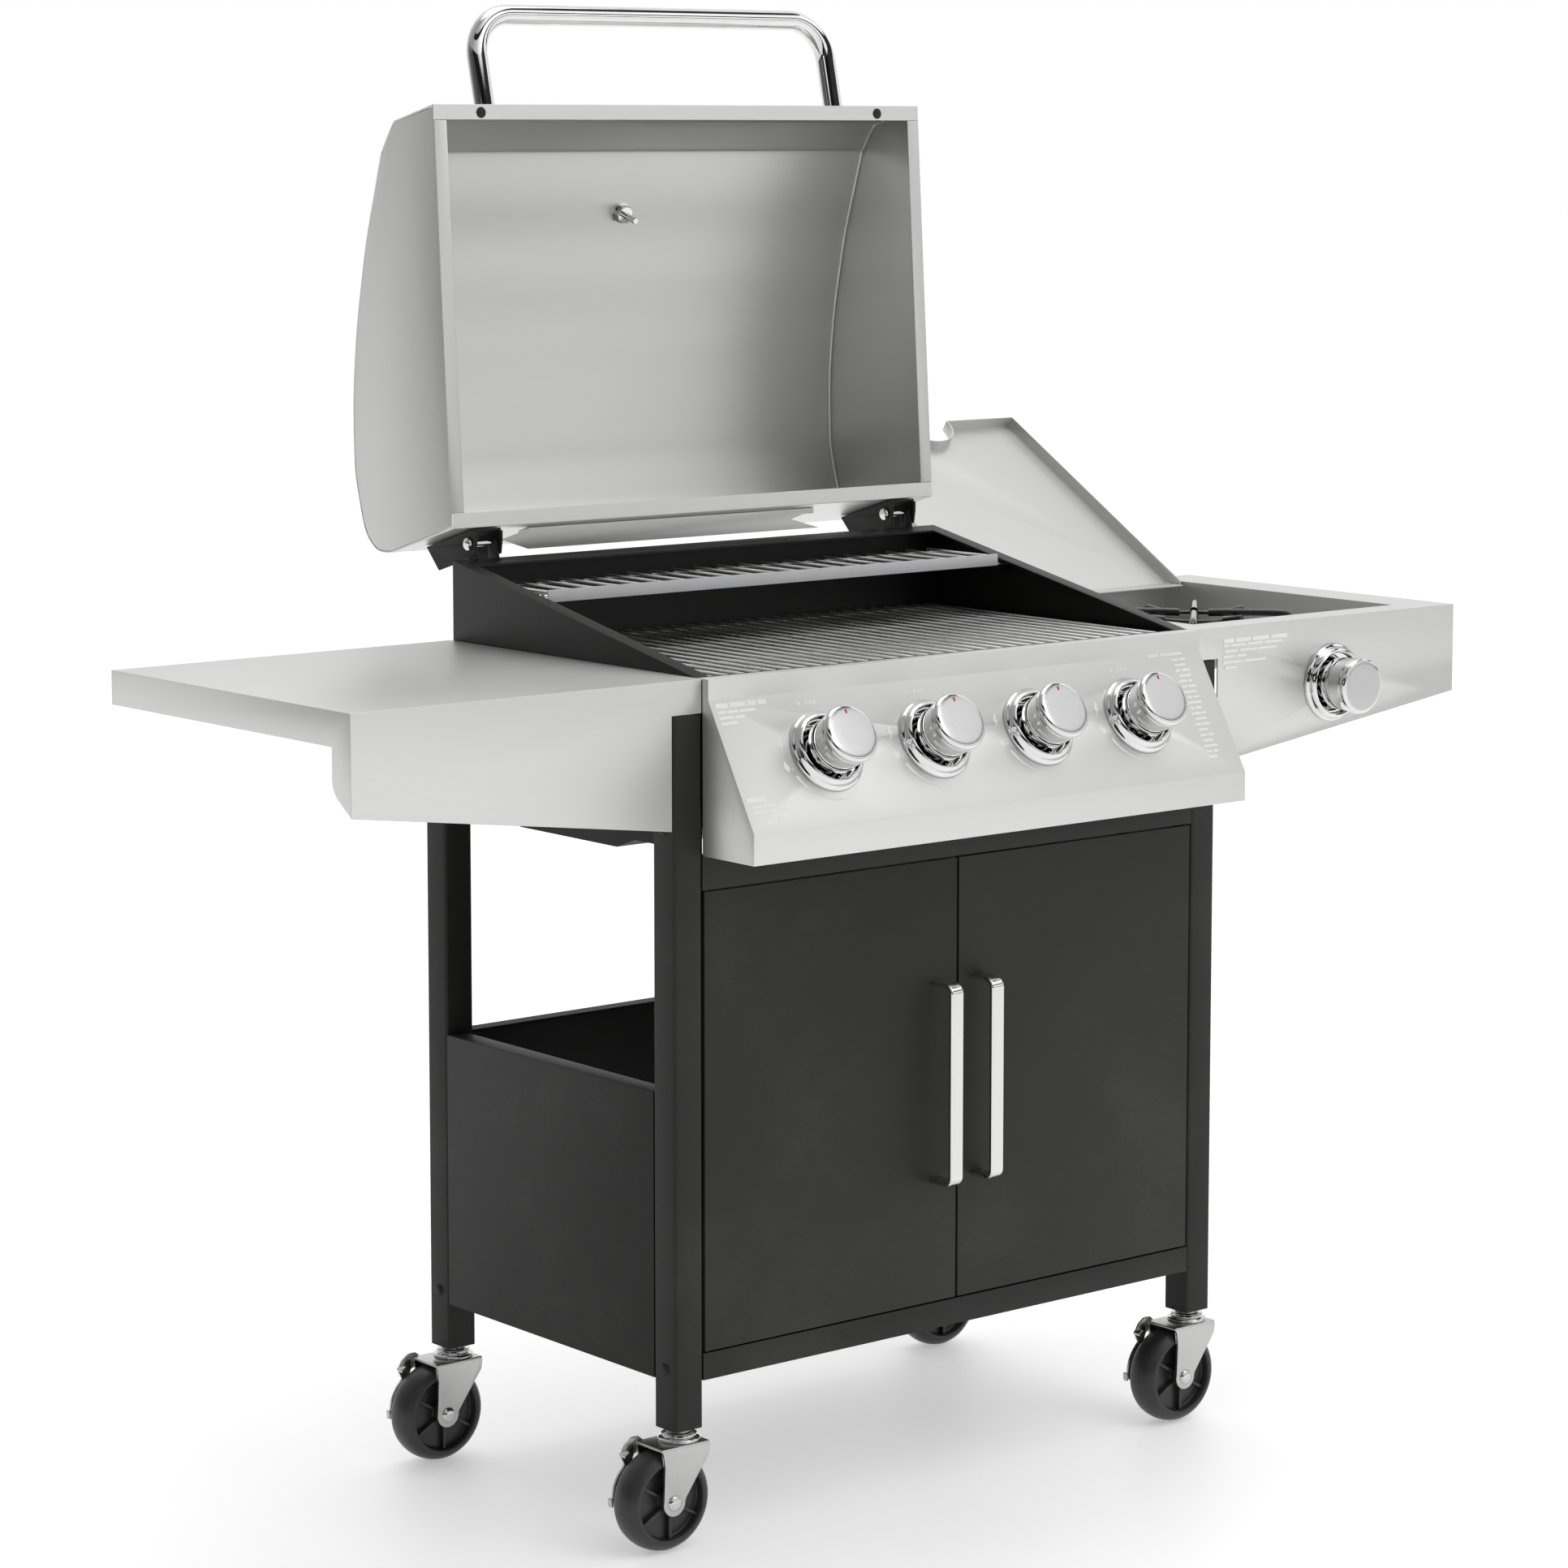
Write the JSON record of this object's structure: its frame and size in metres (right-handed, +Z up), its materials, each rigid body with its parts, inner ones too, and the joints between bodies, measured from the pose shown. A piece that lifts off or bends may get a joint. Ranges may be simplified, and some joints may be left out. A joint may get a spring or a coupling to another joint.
{
  "type": "gas barbecue grill",
  "caption": "Free-standing gas barbecue grill on a cabinet cart with hinged lid, side shelf, side burner with its own lid, doors and swivel castors.",
  "frame": {"origin": "centre of the bounding box's bottom face, on the ground, lids open", "axes": "+Z up, +X to the right seen from the front, the front faces -Y"},
  "size_m": [1.282, 0.6696, 1.3214],
  "materials": {
    "black_powder_coat": "fine-textured matte powder coat",
    "brushed_stainless": "brushed",
    "chrome": "polished",
    "grate_steel": "satin wire",
    "brass": "satin",
    "black_enamel": "gloss enamel",
    "aluminium": "cast",
    "black_plastic": "satin moulded",
    "zinc_plate": "zinc plated"
  },
  "bodies": {
    "cart": {"legs": "black_powder_coat", "caster_sockets": "zinc_plate", "cart_rails": "black_powder_coat", "side_panels": "black_powder_coat", "back_panel": "black_powder_coat", "base_shelf": "black_powder_coat", "firebox": "black_powder_coat", "cooking_grate": "grate_steel", "warming_rack": "grate_steel", "heat_tents": "brushed_stainless", "main_burners": "brushed_stainless", "control_panel": "brushed_stainless", "gas_manifold": "grate_steel", "gas_valves": "brass", "knob_bezels": "chrome", "left_shelf": "brushed_stainless", "right_shelf": "brushed_stainless", "side_lid_pins": "chrome", "side_burner": "aluminium", "side_burner_cap": "black_enamel", "side_burner_grate": "black_enamel", "firebox_hinge_brackets": "black_powder_coat", "lid_hinge_pins": "chrome", "fasteners": "grate_steel"},
    "main_lid": {"lid_shell": "brushed_stainless", "lid_end_panels": "brushed_stainless", "lid_handle": "chrome", "lid_thermometer": "chrome", "lid_hinge_brackets": "black_powder_coat", "rear_heat_shield": "brushed_stainless"},
    "side_lid": {"side_burner_lid": "brushed_stainless"},
    "left_door_leaf": {"left_door": "black_powder_coat", "left_door_handle": "brushed_stainless"},
    "right_door_leaf": {"right_door": "black_powder_coat", "right_door_handle": "brushed_stainless"},
    "drip_tray": {"grease_tray": "grate_steel", "grease_cup": "grate_steel"},
    "stem_1": {"valve_stem_1": "grate_steel"},
    "knob_cap_1": {"knob_1": "chrome"},
    "stem_2": {"valve_stem_2": "grate_steel"},
    "knob_cap_2": {"knob_2": "chrome"},
    "stem_3": {"valve_stem_3": "grate_steel"},
    "knob_cap_3": {"knob_3": "chrome"},
    "stem_4": {"valve_stem_4": "grate_steel"},
    "knob_cap_4": {"knob_4": "chrome"},
    "stem_side": {"valve_stem_side": "grate_steel"},
    "knob_cap_side": {"knob_side": "chrome"},
    "fork_front_left": {"caster_fork_front_left": "zinc_plate"},
    "roller_front_left": {"wheel_front_left": "black_plastic"},
    "brake_front_left": {"brake_lever_front_left": "zinc_plate"},
    "fork_front_right": {"caster_fork_front_right": "zinc_plate"},
    "roller_front_right": {"wheel_front_right": "black_plastic"},
    "brake_front_right": {"brake_lever_front_right": "zinc_plate"},
    "fork_rear_left": {"caster_fork_rear_left": "zinc_plate"},
    "roller_rear_left": {"wheel_rear_left": "black_plastic"},
    "brake_rear_left": {"brake_lever_rear_left": "zinc_plate"},
    "fork_rear_right": {"caster_fork_rear_right": "zinc_plate"},
    "roller_rear_right": {"wheel_rear_right": "black_plastic"},
    "brake_rear_right": {"brake_lever_rear_right": "zinc_plate"}
  },
  "joints": [
    {"name": "main_lid_hinge", "type": "hinge", "parent": "cart", "child": "main_lid", "pos_m": [0, 0.12323, 0.834], "axis": [1, 0, 0], "range_deg": [0, 104.6]},
    {"name": "side_lid_hinge", "type": "hinge", "parent": "cart", "child": "side_lid", "pos_m": [0.454, 0.07873, 0.7448], "axis": [1, 0, 0], "range_deg": [0, 149]},
    {"name": "left_door_hinge", "type": "hinge", "parent": "cart", "child": "left_door_leaf", "pos_m": [-0.2823, -0.24557, 0.369], "axis": [0, 0, -1], "range_deg": [0, 104]},
    {"name": "right_door_hinge", "type": "hinge", "parent": "cart", "child": "right_door_leaf", "pos_m": [0.2823, -0.24557, 0.369], "axis": [0, 0, 1], "range_deg": [0, 104]},
    {"name": "drip_tray_slide", "type": "slide", "parent": "cart", "child": "drip_tray", "axis": [0, 1, 0], "range_m": [0, 0.24]},
    {"name": "knob_1_push", "type": "slide", "parent": "cart", "child": "stem_1", "axis": [0, 0.8661, -0.4999], "range_m": [0, 0.004], "stiffness_N_per_m": 900},
    {"name": "knob_1_turn", "type": "hinge", "parent": "stem_1", "child": "knob_cap_1", "pos_m": [-0.1827, -0.30802, 0.6943], "axis": [0, -0.8661, 0.4999], "range_deg": [0, 180]},
    {"name": "knob_2_push", "type": "slide", "parent": "cart", "child": "stem_2", "axis": [0, 0.8661, -0.4999], "range_m": [0, 0.004], "stiffness_N_per_m": 900},
    {"name": "knob_2_turn", "type": "hinge", "parent": "stem_2", "child": "knob_cap_2", "pos_m": [-0.0609, -0.30802, 0.6943], "axis": [0, -0.8661, 0.4999], "range_deg": [0, 180]},
    {"name": "knob_3_push", "type": "slide", "parent": "cart", "child": "stem_3", "axis": [0, 0.8661, -0.4999], "range_m": [0, 0.004], "stiffness_N_per_m": 900},
    {"name": "knob_3_turn", "type": "hinge", "parent": "stem_3", "child": "knob_cap_3", "pos_m": [0.0609, -0.30802, 0.6943], "axis": [0, -0.8661, 0.4999], "range_deg": [0, 180]},
    {"name": "knob_4_push", "type": "slide", "parent": "cart", "child": "stem_4", "axis": [0, 0.8661, -0.4999], "range_m": [0, 0.004], "stiffness_N_per_m": 900},
    {"name": "knob_4_turn", "type": "hinge", "parent": "stem_4", "child": "knob_cap_4", "pos_m": [0.1827, -0.30802, 0.6943], "axis": [0, -0.8661, 0.4999], "range_deg": [0, 180]},
    {"name": "knob_side_push", "type": "slide", "parent": "cart", "child": "stem_side", "axis": [0, 1, 0], "range_m": [0, 0.004], "stiffness_N_per_m": 900},
    {"name": "knob_side_turn", "type": "hinge", "parent": "stem_side", "child": "knob_cap_side", "pos_m": [0.472, -0.27477, 0.686], "axis": [0, -1, 0], "range_deg": [0, 180]},
    {"name": "caster_front_left_swivel", "type": "hinge", "parent": "cart", "child": "fork_front_left", "pos_m": [-0.303, -0.23477, 0.097], "axis": [0, 0, 1], "continuous": true},
    {"name": "caster_front_left_roll", "type": "hinge", "parent": "fork_front_left", "child": "roller_front_left", "pos_m": [-0.3225, -0.23477, 0.0445], "axis": [0, 1, 0], "continuous": true},
    {"name": "caster_front_left_brake", "type": "hinge", "parent": "fork_front_left", "child": "brake_front_left", "pos_m": [-0.3325, -0.21377, 0.0895], "axis": [0, -1, 0], "range_deg": [0, 8]},
    {"name": "caster_front_right_swivel", "type": "hinge", "parent": "cart", "child": "fork_front_right", "pos_m": [0.303, -0.23477, 0.097], "axis": [0, 0, 1], "continuous": true},
    {"name": "caster_front_right_roll", "type": "hinge", "parent": "fork_front_right", "child": "roller_front_right", "pos_m": [0.2835, -0.23477, 0.0445], "axis": [0, 1, 0], "continuous": true},
    {"name": "caster_front_right_brake", "type": "hinge", "parent": "fork_front_right", "child": "brake_front_right", "pos_m": [0.2735, -0.21377, 0.0895], "axis": [0, -1, 0], "range_deg": [0, 8]},
    {"name": "caster_rear_left_swivel", "type": "hinge", "parent": "cart", "child": "fork_rear_left", "pos_m": [-0.303, 0.10123, 0.097], "axis": [0, 0, 1], "continuous": true},
    {"name": "caster_rear_left_roll", "type": "hinge", "parent": "fork_rear_left", "child": "roller_rear_left", "pos_m": [-0.3225, 0.10123, 0.0445], "axis": [0, 1, 0], "continuous": true},
    {"name": "caster_rear_left_brake", "type": "hinge", "parent": "fork_rear_left", "child": "brake_rear_left", "pos_m": [-0.3325, 0.12223, 0.0895], "axis": [0, -1, 0], "range_deg": [0, 8]},
    {"name": "caster_rear_right_swivel", "type": "hinge", "parent": "cart", "child": "fork_rear_right", "pos_m": [0.303, 0.10123, 0.097], "axis": [0, 0, 1], "continuous": true},
    {"name": "caster_rear_right_roll", "type": "hinge", "parent": "fork_rear_right", "child": "roller_rear_right", "pos_m": [0.2835, 0.10123, 0.0445], "axis": [0, 1, 0], "continuous": true},
    {"name": "caster_rear_right_brake", "type": "hinge", "parent": "fork_rear_right", "child": "brake_rear_right", "pos_m": [0.2735, 0.12223, 0.0895], "axis": [0, -1, 0], "range_deg": [0, 8]}
  ]
}
